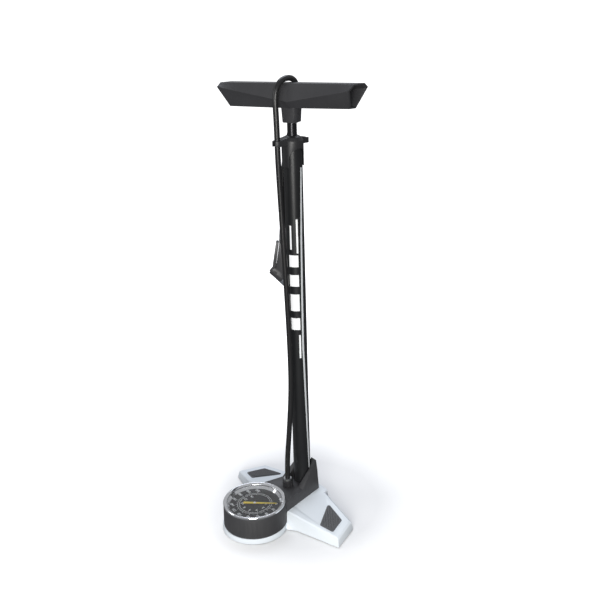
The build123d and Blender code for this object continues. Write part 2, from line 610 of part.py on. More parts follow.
needle_z = dial_top + 1.0
NEEDLE_HEADING = 45.0
needle = make_face(Polyline((-19.0, -1.8), (-19.0, 1.8), (0, 1.8), (37.0, 0.9), (37.0, -0.9), (0, -1.8), close=True))
needle = extrude(Pos(0, 0, needle_z) * Rot(0, 0, NEEDLE_HEADING) * needle, amount=0.6)
node("gauge_needle", GAUGE * (needle + cyl(2.6, needle_z, needle_z + 0.6) - cyl(1.0 + FIT, -20, 0)))
node("needle_boss", GAUGE * (cyl(2.2, needle_z + 0.6, needle_z + 1.1) - cyl(1.0 + FIT, -20, needle_z + 0.75)))

# ---------------------------------------------------------------- hose fittings
nut_low = SOCKET_DECK_Z
NUT_H = 12.0
NUT_R = 8.8
nut = ring(NUT_R, 3.2 + GAP, nut_low, nut_low + NUT_H, 0, OUTLET_Y)
nut = chamfer(nut.edges().filter_by(GeomType.CIRCLE).group_by(Axis.Z)[-1].sort_by(SortBy.RADIUS)[-1], length=1.2)
for turn in range(0, 360, 45):
    nut -= Pos(0, OUTLET_Y, 0) * Rot(0, 0, turn) * cyl(2.2, nut_low - 1, nut_low + NUT_H - 3.5, NUT_R + 1.1, 0)
node("outlet_nut", nut)
hose_start = nut_low + NUT_H + 1.0
node("outlet_stem", ring(3.2, 1.2, outlet_top - 8, hose_start, 0, OUTLET_Y))
node("hose_ferrule", ring(6.6, HOSE_R + FIT, nut_low + NUT_H, nut_low + NUT_H + 3.0, 0, OUTLET_Y))

# ---------------------------------------------------------------- hose
hose_route = [
    (0.0, OUTLET_Y, hose_start), (0.0, OUTLET_Y, 90.0), (2.4, -26.6, 150.0), (5.2, -21.4, 235.0),
    (4.4, -21.8, 330.0), (2.2, -23.4, 430.0), (0.2, -25.6, 525.0), (-0.2, -28.1, 600.0),
    (0.1, CLIP_Y, 656.0), (-1.4, -29.0, 700.0), (-2.2, -14.8, 716.5), (-6.8, 9.4, 716.5),
    (-11.6, 22.0, 702.0), (-16.3, 20.3, 675.0), (-20.4, 15.8, 646.0), (-25.0, 8.5, 612.0),
    (-30.0, 5.0, 578.0), (-34.5, 4.5, 545.0), (HEAD_X, HEAD_Y, 502.0), (HEAD_X, HEAD_Y, HEAD_Z + COLLAR_TOP - 7.8),
]
points = [Vector(*p) for p in hose_route]
legs = [b - a for a, b in zip(points, points[1:])]
radii = []
for before, after in zip(legs, legs[1:]):
    turn = math.radians(before.get_angle(after))
    radii.append(0.45 * min(before.length, after.length) / math.tan(turn / 2))
print("hose radii", [round(r) for r in radii], "route", round(sum(leg.length for leg in legs)))


def hose_piece(name, first, last):
    """The hose from the middle of run first to the middle of run last, or from its very ends."""
    start = points[0] if first == 0 else (points[first] + points[first + 1]) * 0.5
    end = points[-1] if last == len(legs) - 1 else (points[last] + points[last + 1]) * 0.5
    corners = points[first + 1:last + 1]
    path = FilletPolyline(start, *corners, end, radius=radii[first:last])
    tube = sweep(Plane(origin=path @ 0, z_dir=path % 0) * Circle(HOSE_R), path=path)
    print(name, "length", round(path.length, 1), "volume ratio",
          round(tube.volume / (math.pi * HOSE_R ** 2 * path.length), 4))
    node(name, tube)


ARCH_FIRST = 8
ARCH_LAST = 12
hose_piece("hose_riser", 0, ARCH_FIRST)
hose_piece("hose_arch", ARCH_FIRST, ARCH_LAST)
hose_piece("hose_drop", ARCH_LAST, len(legs) - 1)

# ---------------------------------------------------------------- pump head
HEAD = Location((HEAD_X, HEAD_Y, HEAD_Z), (0, 0, HEAD_HEADING))
CHUCK = Pos(PIVOT_S, 0, PIVOT_Z) * Rot(0, CHUCK_ANGLE, 0)
chuck_back = -CAM_R - 0.3
neck_low = 14.5
neck_high = 22.0
nut_seat = 15.0
grip = prism([(-6.3, COLLAR_LOW), (-12.6, 12.0), (-4.0, -8.0), (6.0, -12.0), (9.0, 2.0), (7.0, COLLAR_LOW)], CHEEK_HALF)
grip = chamfer(grip.edges().filter_by(Axis.Y), length=1.0)
grip -= CHUCK * cyl(CHUCK_R + 0.2 + GAP, nut_seat, 60)
chuck = cyl(CHUCK_R, chuck_back, nut_seat)
head = grip + CHUCK * chuck + cyl(HOSE_R + 2.6, COLLAR_LOW - 1, COLLAR_TOP)
head -= CHUCK * block(-CHUCK_R - 6, CHUCK_R + 6, -SLOT_HALF, SLOT_HALF, chuck_back - 20, CAM_R + 1.0)
head -= prism([(-30, 60), (-30, 12), (-13.4, 12), (-7.0, 52)], SLOT_HALF + 2.6)
gasket_low = CAM_R + 9.5
gasket_r = CHUCK_R - 3.0
PLUNGER_R = 4.4
head -= CHUCK * cyl(PLUNGER_R + FIT, 0, gasket_low)
head -= cyl(1.5, 8, 60)
head -= cyl(HOSE_R + FIT, COLLAR_TOP - 8, 60)
PIN_R = 1.8
head -= Pos(PIVOT_S, 0, PIVOT_Z) * Rot(90, 0, 0) * Cylinder(PIN_R + FIT, 60)
node("head_body", HEAD * head)
node("nose_collar", HEAD * CHUCK * revolved((PLUNGER_R + FIT, nut_seat), (CHUCK_R - 1.6, nut_seat),
                                           (CHUCK_R - 1.6, neck_high), (gasket_r + FIT, neck_high),
                                           (gasket_r + FIT, gasket_low - 0.4), (PLUNGER_R + FIT, gasket_low - 0.4)))
node("lever_pin", HEAD * Pos(PIVOT_S, 0, PIVOT_Z) * Rot(90, 0, 0) * Cylinder(PIN_R, 2 * CHEEK_HALF))
plunger_low = CAM_R + GAP
plunger_high = gasket_low - 0.4 - CAM_THROW
node("head_plunger", HEAD * CHUCK * ring(PLUNGER_R, 1.0, plunger_low, plunger_high))
gasket_high = gasket_low + GASKET_L
node("valve_gasket", HEAD * CHUCK * ring(gasket_r, VALVE_R, gasket_low, gasket_high))
nose_high = gasket_high + 3.4
nut_in = CHUCK_R - 1.6 + FIT
nose_nut = revolved((nut_in, nut_seat + GAP), (CHUCK_R + 0.2, nut_seat + GAP), (CHUCK_R + 0.2, nose_high - 3.0),
                    (CHUCK_R - 2.0, nose_high), (VALVE_R + 0.9, nose_high), (VALVE_R + 0.9, gasket_high + FIT),
                    (gasket_r + FIT, gasket_high + FIT), (gasket_r + FIT, neck_high + GAP), (nut_in, neck_high + GAP))
node("nose_nut", HEAD * CHUCK * nose_nut)
LEVER_HALF = 6.6
root_half = SLOT_HALF - GAP
cam_s = PIVOT_S - CAM_THROW * math.sqrt(0.5)
cam_z = PIVOT_Z - CAM_THROW * math.sqrt(0.5)
lever = Pos(cam_s, 0, cam_z) * Rot(90, 0, 0) * Cylinder(CAM_R, 2 * root_half)
lever += prism([(PIVOT_S, PIVOT_Z), (-19.0, 8.0), (-18.1, 14.8), (-13.2, 14.8), (-10.5, 7.0)], root_half)
paddle = prism([(-18.1, 14.7), (-11.8, 50.6), (-9.6, 51.6), (-7.25, 50.4), (-12.7, 14.7)], LEVER_HALF)
lever += chamfer(paddle.edges().filter_by(Axis.Y).group_by(Axis.Z)[-1], length=0.8)
lever -= Pos(PIVOT_S, 0, PIVOT_Z) * Rot(90, 0, 0) * Cylinder(PIN_R + RUN, 60)
node("head_lever", HEAD * lever)
SLEEVE_L = 18.0
sleeve = revolved((HOSE_R + FIT, COLLAR_TOP), (HOSE_R + 2.4, COLLAR_TOP), (HOSE_R + 2.4, COLLAR_TOP + 4),
                  (HOSE_R + 1.2, COLLAR_TOP + SLEEVE_L), (HOSE_R + FIT, COLLAR_TOP + SLEEVE_L))
node("head_sleeve", HEAD * sleeve)
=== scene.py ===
import math

import bmesh
import bpy
from mathutils import Matrix, Vector


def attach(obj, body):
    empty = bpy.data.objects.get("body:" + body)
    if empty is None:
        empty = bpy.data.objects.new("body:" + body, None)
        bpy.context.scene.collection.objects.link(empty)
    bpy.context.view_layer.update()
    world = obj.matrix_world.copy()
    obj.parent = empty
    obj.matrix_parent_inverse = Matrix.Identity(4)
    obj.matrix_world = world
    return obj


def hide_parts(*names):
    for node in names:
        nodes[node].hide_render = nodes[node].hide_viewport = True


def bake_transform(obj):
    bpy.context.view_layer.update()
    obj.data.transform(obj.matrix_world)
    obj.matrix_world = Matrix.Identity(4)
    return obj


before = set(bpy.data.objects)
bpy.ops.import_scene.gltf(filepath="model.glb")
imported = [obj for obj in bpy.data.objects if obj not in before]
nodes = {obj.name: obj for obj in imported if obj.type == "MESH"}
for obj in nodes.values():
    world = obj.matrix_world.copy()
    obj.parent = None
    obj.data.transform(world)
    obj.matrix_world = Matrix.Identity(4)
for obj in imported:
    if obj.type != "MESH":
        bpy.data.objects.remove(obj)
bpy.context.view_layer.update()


# ---------------------------------------------------------------- floor, light and viewpoint
# The pump stands on a pale sheet in a white tent. A broad soft lamp stands on the viewpoint's side, a faint
# one to its left, and a wide, cooler one overhead gives the sheen on top of the handle.
def linear(code):
    """A colour written as sRGB hex, as the linear red, green, blue and alpha that a shader takes."""
    channels = [int(code[i:i + 2], 16) / 255 for i in (1, 3, 5)]
    return [c / 12.92 if c <= 0.04045 else ((c + 0.055) / 1.055) ** 2.4 for c in channels] + [1.0]


def add_node(tree, kind, settings=None, links=None):
    """One shader node. Settings go to its options or to its sockets by name or number, links to sockets."""
    made = tree.nodes.new(kind)
    for name, value in (settings or {}).items():
        if isinstance(name, str) and hasattr(made, name):
            setattr(made, name, value)
        else:
            made.inputs[name].default_value = value
    for name, source in (links or {}).items():
        tree.links.new(source, made.inputs[name])
    return made


bpy.ops.object.select_all(action="DESELECT")
bpy.ops.mesh.primitive_plane_add(size=30, location=(0, 0, 0))
floor = bpy.context.object
floor.name = "floor"
# White paper that glows more and more away from the pump, like a sheet that sweeps up before a light box.
sheet = bpy.data.materials.new("backlit_white_paper")
sheet.use_nodes = True
tree = sheet.node_tree
paper = tree.nodes["Principled BSDF"]
paper.inputs["Roughness"].default_value = 1.0
paper.inputs["Specular IOR Level"].default_value = 0.0
paper.inputs["Emission Color"].default_value = linear("#ffffff")
ray = add_node(tree, "ShaderNodeLightPath")
whiteness = add_node(tree, "ShaderNodeMix", {"data_type": "RGBA", 6: linear("#7c7c7c"), 7: linear("#f5f5f5")},
                     {0: ray.outputs["Is Camera Ray"]})
tree.links.new(whiteness.outputs[2], paper.inputs["Base Color"])
spot = add_node(tree, "ShaderNodeTexCoord")
distance = add_node(tree, "ShaderNodeVectorMath", {"operation": "LENGTH"}, {0: spot.outputs["Object"]})
GLOW_FROM = 0.13           # the sheet starts to glow this far from the pump's middle
GLOW_FULL = 0.42
glow = add_node(tree, "ShaderNodeMapRange",
                {"From Min": GLOW_FROM, "From Max": GLOW_FULL, "To Min": 0.0, "To Max": 0.9},
                {"Value": distance.outputs["Value"]})
shown = add_node(tree, "ShaderNodeMath", {"operation": "MULTIPLY"},
                 {0: glow.outputs["Result"], 1: ray.outputs["Is Camera Ray"]})
tree.links.new(shown.outputs["Value"], paper.inputs["Emission Strength"])
floor.data.materials.append(sheet)

tent = bpy.data.worlds.new("white_tent")
bpy.context.scene.world = tent
tent.use_nodes = True
tree = tent.node_tree
tree.nodes["Background"].inputs["Color"].default_value = linear("#fbfcff")
ray = add_node(tree, "ShaderNodeLightPath")
TENT_LIGHT = 0.45          # what the tent sheds on the pump
TENT_SEEN = 1.15           # how bright the tent itself looks
strength = add_node(tree, "ShaderNodeMapRange", {"To Min": TENT_LIGHT, "To Max": TENT_SEEN},
                    {"Value": ray.outputs["Is Camera Ray"]})
tree.links.new(strength.outputs["Result"], tree.nodes["Background"].inputs["Strength"])

LAMPS_AIM = Vector((0, 0, 0.3))
LAMPS = [                  # name, place, size, power and tint
    ("front_lamp", (2.0, -2.0, 0.75), 1.3, 80.0, "#fffefb"),
    ("left_lamp", (-1.6, -2.2, 1.2), 1.2, 14.0, "#ffffff"),
    ("overhead_lamp", (-0.7, 0.6, 2.3), 1.5, 24.0, "#eef4ff"),
]
for name, place, size, power, tint in LAMPS:
    bpy.ops.object.light_add(type="AREA", location=place)
    lamp = bpy.context.object
    lamp.name = name
    lamp.data.size = size
    lamp.data.energy = power
    lamp.data.color = linear(tint)[:3]
    lamp.rotation_euler = (LAMPS_AIM - Vector(place)).to_track_quat("-Z", "Y").to_euler()

CAMERA_PLACE = (0.95330, -0.76140, 0.82850)
CAMERA_AZIMUTH = 51.17
CAMERA_LOOKS_DOWN = 20.41
CAMERA_ROLL = -1.63
bpy.ops.object.camera_add(location=CAMERA_PLACE)
camera = bpy.context.object
camera.name = "camera"
camera.data.lens = 49.2
camera.data.sensor_width = 36.0
heading = Matrix.Rotation(math.radians(CAMERA_AZIMUTH), 4, "Z")
pitch = Matrix.Rotation(math.radians(90 - CAMERA_LOOKS_DOWN), 4, "X")
camera.rotation_euler = (heading @ pitch @ Matrix.Rotation(math.radians(CAMERA_ROLL), 4, "Z")).to_euler()
bpy.context.scene.camera = camera
bpy.context.scene.view_settings.view_transform = "Standard"


# ---------------------------------------------------------------- hose
# A smooth black rubber hose of 8.6 mm. It leaves the nut upright, is pinched in the clip on the cap, goes
# over the handle in a tight arch and hangs down the left side to the head.
HOSE_ROUTE = [
    (0.0, -0.032, 0.059), (0.0, -0.032, 0.090), (0.0024, -0.0266, 0.150), (0.0052, -0.0214, 0.235),
    (0.0044, -0.0218, 0.330), (0.0022, -0.0234, 0.430), (0.0002, -0.0256, 0.525), (-0.0002, -0.0281, 0.600),
    (0.0001, -0.0284, 0.656), (-0.0014, -0.0290, 0.700), (-0.0022, -0.0148, 0.7165), (-0.0068, 0.0094, 0.7165),
    (-0.0116, 0.0220, 0.702), (-0.0163, 0.0203, 0.675), (-0.0204, 0.0158, 0.646), (-0.0250, 0.0085, 0.612),
    (-0.0300, 0.0050, 0.578), (-0.0345, 0.0045, 0.545), (-0.0362, 0.0048, 0.502), (-0.0362, 0.0048, 0.4592),
]
HOSE_RADIUS = 0.0043


def moulded(name, colour, second, roughness, grain_mm, relief_mm,
            patch_mm=40.0, spread=0.06, metal=0.0, shine=0.5):
    """A finish with a fine grain in its relief and slow patches of a second shade and of dullness.
    grain_mm is the size of one grain, relief_mm its height, patch_mm the size of a patch, and shine how much
    it mirrors."""
    made = bpy.data.materials.new(name)
    made.use_nodes = True
    tree = made.node_tree
    skin = tree.nodes["Principled BSDF"]
    place = add_node(tree, "ShaderNodeTexCoord")
    patch = add_node(tree, "ShaderNodeTexNoise", {"Scale": 1000 / patch_mm, "Detail": 3.0},
                     {"Vector": place.outputs["Object"]})
    grain = add_node(tree, "ShaderNodeTexNoise", {"Scale": 1000 / grain_mm, "Detail": 2.0},
                     {"Vector": place.outputs["Object"]})
    shade = add_node(tree, "ShaderNodeMix", {"data_type": "RGBA", 6: linear(colour), 7: linear(second)},
                     {0: patch.outputs["Fac"]})
    dull = add_node(tree, "ShaderNodeMapRange", {"To Min": roughness - spread, "To Max": roughness + spread},
                    {"Value": patch.outputs["Fac"]})
    relief = add_node(tree, "ShaderNodeBump", {"Strength": 1.0, "Distance": relief_mm / 1000},
                      {"Height": grain.outputs["Fac"]})
    tree.links.new(shade.outputs[2], skin.inputs["Base Color"])
    tree.links.new(dull.outputs["Result"], skin.inputs["Roughness"])
    tree.links.new(relief.outputs["Normal"], skin.inputs["Normal"])
    skin.inputs["Metallic"].default_value = metal
    skin.inputs["Specular IOR Level"].default_value = shine
    return made


# EPDM rubber, extruded: smooth, with a soft silky shine along its length.
hose_rubber = moulded("extruded_black_rubber", "#161617", "#1d1d1e", 0.34, 1.2, 0.010, shine=0.4)

bpy.ops.object.select_all(action="DESELECT")
bpy.ops.curve.primitive_nurbs_path_add()
hose = bpy.context.object
hose.name = "hose"
hose.location = (0, 0, 0)
hose.data.splines.clear()
run = hose.data.splines.new("NURBS")
run.points.add(len(HOSE_ROUTE) - 1)
for point, spot in zip(run.points, HOSE_ROUTE):
    point.co = (*spot, 1.0)
run.order_u = 3
run.use_endpoint_u = True
run.resolution_u = 10
hose.data.dimensions = "3D"
hose.data.bevel_depth = 0.0
bpy.context.view_layer.update()
middle_line = bpy.data.meshes.new_from_object(hose.evaluated_get(bpy.context.evaluated_depsgraph_get()))
hose_line = [tuple(v.co) for v in middle_line.vertices]
hose_length = sum((Vector(b) - Vector(a)).length for a, b in zip(hose_line, hose_line[1:]))
print("hose length", round(hose_length, 4), "points", len(hose_line))
hose.data.bevel_depth = HOSE_RADIUS
hose.data.bevel_resolution = 6
hose.data.use_fill_caps = True
bpy.ops.object.select_all(action="DESELECT")
hose.select_set(True)
bpy.context.view_layer.objects.active = hose
bpy.ops.object.convert(target="MESH")
bpy.ops.object.shade_smooth_by_angle(angle=math.radians(40))
hose.data.materials.clear()
hose.data.materials.append(hose_rubber)
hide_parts("hose_riser", "hose_arch", "hose_drop")
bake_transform(hose)


# ---------------------------------------------------------------- base moulding
# One white moulding in talc-filled polypropylene: two feet, a low deck and the round rim that carries the
# gauge. Its walls lean in for the mould and all its edges are softened.
def eased_copy(node, name, ease, steps=3, corner=25.0):
    """A CAD piece copied with its edges rounded by ease metres."""
    piece = bpy.data.objects.new(name, nodes[node].data.copy())
    bpy.context.scene.collection.objects.link(piece)
    piece.data.materials.clear()
    bpy.ops.object.select_all(action="DESELECT")
    piece.select_set(True)
    bpy.context.view_layer.objects.active = piece
    bpy.ops.object.mode_set(mode="EDIT")
    bpy.ops.mesh.select_all(action="SELECT")
    bpy.ops.mesh.remove_doubles(threshold=0.000005)
    bpy.ops.mesh.dissolve_limited(angle_limit=math.radians(0.5))
    bpy.ops.object.mode_set(mode="OBJECT")
    rounding = piece.modifiers.new("rounding", "BEVEL")
    rounding.width = ease
    rounding.segments = steps
    rounding.limit_method = "ANGLE"
    rounding.angle_limit = math.radians(corner)
    rounding.use_clamp_overlap = True
    rounding.miter_outer = "MITER_ARC"
    bpy.ops.object.modifier_apply(modifier="rounding")
    bpy.ops.object.shade_smooth_by_angle(angle=math.radians(32))
    return piece


def stands_for(piece, node, body, finish):
    """The piece takes a CAD node's place on its body, with its finish."""
    piece.data.materials.clear()
    piece.data.materials.append(finish)
    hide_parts(node)
    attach(piece, body)


# Injection-moulded polypropylene: a faintly bluish white with a satin skin that scatters light softly.
base_plastic = moulded("moulded_white_polypropylene", "#d9e0e7", "#e3e9ee", 0.42, 0.7, 0.015, patch_mm=90)
base = eased_copy("base_shell", "base_moulding", 0.0016)
stands_for(base, "base_shell", "base", base_plastic)

# Each foot has a grey rubber pad for the shoe, let into its top. The pad's face is cut crosswise into small
# diamonds, with a plain border round them.
PAD_OUTLINE = [(0.0610, 0.0052), (0.1053, -0.0040), (0.1180, -0.0349), (0.0933, -0.0408)]
PAD_FACE = 0.0244          # height of the pad's face at PAD_FACE_X
PAD_FACE_X = 0.057
PAD_FALL = 0.117           # how fast the face drops outwards
DIAMOND = 0.0040           # across the flats
DIAMOND_TURN = 38          # degrees
DIAMOND_INSET = 0.0007
DIAMOND_RISE = 0.0009
GRID_CELLS = 22            # enough to cover a pad at any turn
TREAD_LIFT = 0.00002
TREAD_BACKING = 0.0008
BORDER = 0.0020
CORNER_CUT = 0.0035        # how much of each corner of the pattern is cut off
grip_rubber = moulded("grey_tread_rubber", "#4e4f51", "#5c5d60", 0.58, 0.8, 0.030, patch_mm=25)


def tread(side):
    """The diamonds of one pad: a turned grid, each cell drawn in and raised, trimmed to the pad's outline."""
    middle = sum((Vector(p) for p in PAD_OUTLINE), Vector((0, 0))) / len(PAD_OUTLINE)
    bpy.ops.object.select_all(action="DESELECT")
    bpy.ops.mesh.primitive_grid_add(x_subdivisions=GRID_CELLS, y_subdivisions=GRID_CELLS,
                                    size=GRID_CELLS * DIAMOND)
    piece = bpy.context.object
    piece.name = "tread_right" if side > 0 else "tread_left"
    bpy.ops.object.mode_set(mode="EDIT")
    bpy.ops.mesh.select_all(action="SELECT")
    bpy.ops.transform.rotate(value=math.radians(DIAMOND_TURN), orient_axis="Z", center_override=(0, 0, 0))
    bpy.ops.transform.translate(value=(middle.x, middle.y, 0))
    bpy.ops.mesh.inset(thickness=DIAMOND_INSET, depth=DIAMOND_RISE, use_individual=True)
    corners = [Vector((*p, 0)) for p in PAD_OUTLINE]
    cuts = []
    for start, end in zip(corners, corners[1:] + corners[:1]):
        away = Vector((start.y - end.y, end.x - start.x, 0)).normalized()
        cuts.append((start - away * BORDER, away))
    for before, at, after in zip(corners[-1:] + corners[:-1], corners, corners[1:] + corners[:1]):
        away = -((before - at).normalized() + (after - at).normalized()).normalized()
        cuts.append((at - away * (BORDER + CORNER_CUT), away))
    for start, away in cuts:
        bpy.ops.mesh.select_all(action="SELECT")
        bpy.ops.mesh.bisect(plane_co=start, plane_no=away, clear_outer=True)
    bpy.ops.object.mode_set(mode="OBJECT")
    for corner in piece.data.vertices:
        corner.co.z += PAD_FACE - PAD_FALL * (corner.co.x - PAD_FACE_X) + TREAD_LIFT
        corner.co.x *= side
    backing = piece.modifiers.new("backing", "SOLIDIFY")
    backing.thickness = TREAD_BACKING
    backing.offset = -1.0 if side > 0 else 1.0
    bpy.ops.object.modifier_apply(modifier="backing")
    bpy.ops.object.mode_set(mode="EDIT")
    bpy.ops.mesh.select_all(action="SELECT")
    bpy.ops.mesh.normals_make_consistent(inside=False)
    bpy.ops.object.mode_set(mode="OBJECT")
    piece.data.materials.append(grip_rubber)
    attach(piece, "base")


tread(1)
tread(-1)


# ---------------------------------------------------------------- barrel socket
# A black ABS cover that stands on the deck, rises in two flanks round the barrel's foot and hides the
# screws. Its skin has a fine spark-eroded grain.
socket_plastic = moulded("grained_black_abs", "#2c2c2e", "#38383a", 0.50, 0.8, 0.030, patch_mm=30, shine=0.7)
socket = eased_copy("barrel_socket", "socket_cover", 0.0009)
stands_for(socket, "barrel_socket", "base", socket_plastic)


# ---------------------------------------------------------------- barrel
# A drawn steel tube of 28.6 mm with a satin black powder coat, which lies on it with a faint orange peel.
powder_coat = moulded("satin_black_powder_coat", "#161718", "#1d1e20", 0.34, 1.6, 0.012, patch_mm=70, shine=0.35)


def dress(finish, *names):
    """These CAD pieces keep their shape and take this finish."""
    for name in names:
        nodes[name].data.materials.clear()
        nodes[name].data.materials.append(finish)


dress(powder_coat, "barrel")

# A silver line runs up each side of the barrel in a long shallow curve. Between them stand four white bars,
# not all of one height, with slim lines above and below. All are screen printed: a thin film on the coat.
BARREL_R = 0.0143
FILM = 0.00006
silver_ink = moulded("silver_screen_ink", "#c6cacd", "#d2d5d8", 0.36, 0.5, 0.003)
white_ink = moulded("white_screen_ink", "#eceef0", "#f4f5f6", 0.45, 0.5, 0.003)


def printed(name, width, low, high, bend, finish):
    """A flat patch of ink, wrapped on the barrel. bend gives its middle's angle, in degrees, at a height."""
    rows = max(2, int((high - low) / 0.008))
    bpy.ops.object.select_all(action="DESELECT")
    columns = max(2, int(width / 0.0008))
    bpy.ops.mesh.primitive_grid_add(x_subdivisions=columns, y_subdivisions=rows, size=1.0)
    piece = bpy.context.object
    piece.name = name
    for corner in piece.data.vertices:
        height = low + (corner.co.y + 0.5) * (high - low)
        angle = math.radians(bend(height)) + corner.co.x * width / BARREL_R
        reach = BARREL_R + FILM
        corner.co = (reach * math.cos(angle), reach * math.sin(angle), height)
    film = piece.modifiers.new("film", "SOLIDIFY")
    film.thickness = FILM * 1.5
    film.offset = -1.0
    bpy.ops.object.modifier_apply(modifier="film")
    bpy.ops.object.mode_set(mode="EDIT")
    bpy.ops.mesh.select_all(action="SELECT")
    bpy.ops.mesh.normals_make_consistent(inside=False)
    bpy.ops.object.mode_set(mode="OBJECT")
    bpy.ops.object.shade_smooth_by_angle(angle=math.radians(30))
    piece.data.materials.append(finish)
    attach(piece, "base")


LINE_WIDTH = 0.0032
LINE_LOW = 0.072
LINE_HIGH = 0.588
# Heights, and the line's angle about the barrel at each, in degrees from +X.
LINE_BEND = [(0.05, 24.0), (0.16, 8.0), (0.30, -7.0), (0.39, -4.0), (0.481, 2.0), (0.60, 17.0)]


def line_angle(height):
    """The silver line's angle about the barrel at a height, straight from one listed height to the next."""
    for (low, before), (high, after) in zip(LINE_BEND, LINE_BEND[1:]):
        if height <= high:
            share = (height - low) / (high - low)
            return before + (after - before) * share
    return LINE_BEND[-1][1]


printed("silver_line_right", LINE_WIDTH, LINE_LOW, LINE_HIGH, line_angle, silver_ink)
printed("silver_line_left", LINE_WIDTH, LINE_LOW, LINE_HIGH, lambda height: 180 - line_angle(height),
        silver_ink)
# Lower end, upper end, angle about the barrel and width of each bar or slim line.
BARS = [(0.462, 0.500, -68, 0.0028), (0.456, 0.510, -27, 0.0028), (0.434, 0.453, -53, 0.0150),
        (0.402, 0.421, -53, 0.0150), (0.361, 0.389, -53, 0.0150), (0.329, 0.349, -53, 0.0150),
        (0.280, 0.320, -27, 0.0028)]
for count, (low, high, angle, width) in enumerate(BARS):
    printed(f"white_bar_{count + 1}", width, low, high, lambda height, a=angle: a, white_ink)


# ---------------------------------------------------------------- cap
# The barrel's screw-on cap in black nylon, with a clip for the hose on each side and a wiper for the rod.
nylon = moulded("moulded_black_nylon", "#1f1f21", "#29292b", 0.42, 0.9, 0.020, patch_mm=25, shine=0.4)
cap = eased_copy("barrel_cap", "barrel_cap_moulding", 0.0006)
stands_for(cap, "barrel_cap", "base", nylon)


# ---------------------------------------------------------------- handle
# A hollow T grip in black ABS, its upper facets run out to the ends, which are cut off on the slant.
grip_plastic = moulded("satin_black_abs", "#262628", "#303033", 0.38, 0.6, 0.020, patch_mm=35, shine=0.6)
handle = eased_copy("handle", "handle_grip", 0.0010)
stands_for(handle, "handle", "handle", grip_plastic)

# The rod is steel tube, ground and black nitrided, so it keeps a dark metallic gloss.
nitrided = moulded("black_nitrided_steel", "#202022", "#29292c", 0.24, 2.5, 0.002, metal=0.6)
dress(nitrided, "piston_rod")


# ---------------------------------------------------------------- gauge
# A black case with a chrome ring, a clear window, a black dial and a yellow pointer.
case_plastic = moulded("matt_black_abs", "#313133", "#3a3a3c", 0.58, 0.6, 0.025, patch_mm=30)
case = eased_copy("gauge_case", "gauge_body", 0.0008)
stands_for(case, "gauge_case", "base", case_plastic)
chrome = moulded("bright_chrome_plate", "#eceef1", "#f2f4f7", 0.07, 6.0, 0.002, spread=0.03, metal=1.0)
bezel = eased_copy("gauge_bezel", "bezel", 0.0006, steps=4)
stands_for(bezel, "gauge_bezel", "base", chrome)
dress(chrome, "dial_ring")
dial_ink = moulded("matt_black_enamel", "#1b1d1c", "#232524", 0.50, 0.5, 0.004, shine=0.3)
dress(dial_ink, "gauge_dial")

# The print on the dial: two thin circles, short strokes on both sides of them, an outer scale from 0 to 220
# and an inner one from 0 to 14. They run clockwise through 270 degrees and read from behind the pump.
GAUGE_PLACE = (0, -0.1027, 0.0497)
GAUGE_TILT = 1.0
GAUGE_AT = Matrix.Translation(GAUGE_PLACE) @ Matrix.Rotation(math.radians(GAUGE_TILT), 4, "X")
DIAL_FACE = -0.0090
INK = 0.00008
ZERO_AT = 45.0
SWEEP = 270.0
OUTER_FULL = 220
INNER_FULL = 15.17
figures = moulded("white_dial_ink", "#f4fafb", "#ffffff", 0.50, 0.5, 0.002)
marks = []


def keep_mark(radius, heading):
    """The shape just made is laid on the dial at a radius and a heading in degrees, and kept."""
    mark = bpy.context.object
    place = Matrix.Rotation(math.radians(heading), 4, "Z") @ Matrix.Translation((radius, 0, DIAL_FACE + INK / 2))
    mark.data.transform(GAUGE_AT @ place)
    marks.append(mark)


DIAL_CIRCLES = [(0.02870, 0.02815), (0.02595, 0.02545)]
for outside, inside in DIAL_CIRCLES:
    bpy.ops.object.select_all(action="DESELECT")
    bpy.ops.mesh.primitive_circle_add(vertices=96, radius=outside, fill_type="NOTHING")
    bpy.ops.object.mode_set(mode="EDIT")
    bpy.ops.mesh.select_all(action="SELECT")
    bpy.ops.mesh.extrude_edges_move()
    bpy.ops.transform.resize(value=(inside / outside,) * 3, center_override=(0, 0, 0))
    bpy.ops.mesh.select_all(action="SELECT")
    bpy.ops.mesh.extrude_region_move(TRANSFORM_OT_translate={"value": (0, 0, INK)})
    bpy.ops.mesh.select_all(action="SELECT")
    bpy.ops.mesh.normals_make_consistent(inside=False)
    bpy.ops.object.mode_set(mode="OBJECT")
    keep_mark(0, 0)

# Strokes: full scale, step, radius, length and width. Figures: full scale, step, radius and height.
STROKES = [(OUTER_FULL, 10, 0.0302, 0.0014, 0.00035), (OUTER_FULL, 20, 0.0304, 0.0022, 0.0006),
           (INNER_FULL, 1, 0.0242, 0.0016, 0.0006), (INNER_FULL, 0.5, 0.0246, 0.0010, 0.00035)]
for full, each, radius, length, width in STROKES:
    for count in range(int(full / each) + 1):
        bpy.ops.object.select_all(action="DESELECT")
        bpy.ops.mesh.primitive_cube_add(size=1.0, scale=(length, width, INK))
        bpy.ops.object.transform_apply(location=False, rotation=False, scale=True)
        keep_mark(radius, ZERO_AT - SWEEP * count * each / full)

